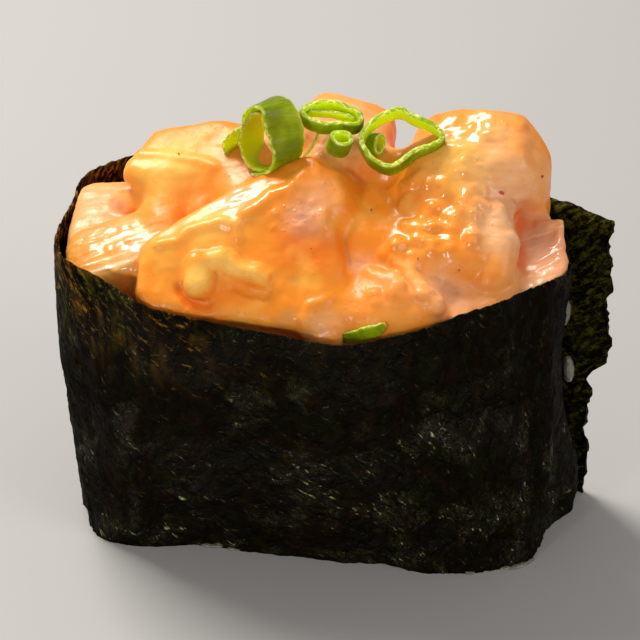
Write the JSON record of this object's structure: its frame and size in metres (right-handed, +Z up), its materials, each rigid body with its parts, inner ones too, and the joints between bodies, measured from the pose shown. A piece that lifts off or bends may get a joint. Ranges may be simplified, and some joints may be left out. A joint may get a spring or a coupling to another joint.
{
  "type": "gunkan sushi",
  "caption": "Gunkan sushi: a boat of vinegared rice wrapped in a strip of nori, heaped with fish chunks in creamy chilli sauce and topped with spring onion.",
  "frame": {"origin": "on the table, at the middle of the flat underside of the rice", "axes": "+Z up, +X along the boat towards the free flap of the nori, -Y out of the long front side"},
  "size_m": [0.0565, 0.0332, 0.046],
  "materials": {
    "nori": "toasted seaweed, satin, crinkled, with thin green-brown spots",
    "rice": "cooked rice, moist, slightly translucent",
    "sauce": "creamy orange chilli sauce, wet gloss",
    "fish": "raw fish in orange sauce, wet gloss, translucent pink where the sauce is thin",
    "onion": "fresh spring onion leaf, dark outside and yellow-green inside"
  },
  "bodies": {
    "root": {"nori": "nori", "rice": "rice", "fish_bed": "sauce", "fish_crest": "fish", "fish_right_block": "fish", "fish_front_right": "fish", "fish_rim_scrap": "fish", "fish_right_slab": "fish", "fish_corner_slab": "fish", "fish_left_front": "fish", "fish_left_slab": "fish", "fish_left_cap": "fish", "fish_right_tall": "fish", "fish_centre": "fish", "fish_back_top": "fish", "fish_valley": "fish", "fish_back_left": "fish", "fish_back_middle": "fish", "fish_back_right": "fish", "onion_curl": "onion", "onion_flat_ring": "onion", "onion_open_ring": "onion", "onion_small_curl": "onion", "onion_tiny_ring": "onion", "onion_rim_sliver": "onion", "rice_glue_upper": "rice", "rice_glue_lower": "rice"}
  },
  "joints": []
}
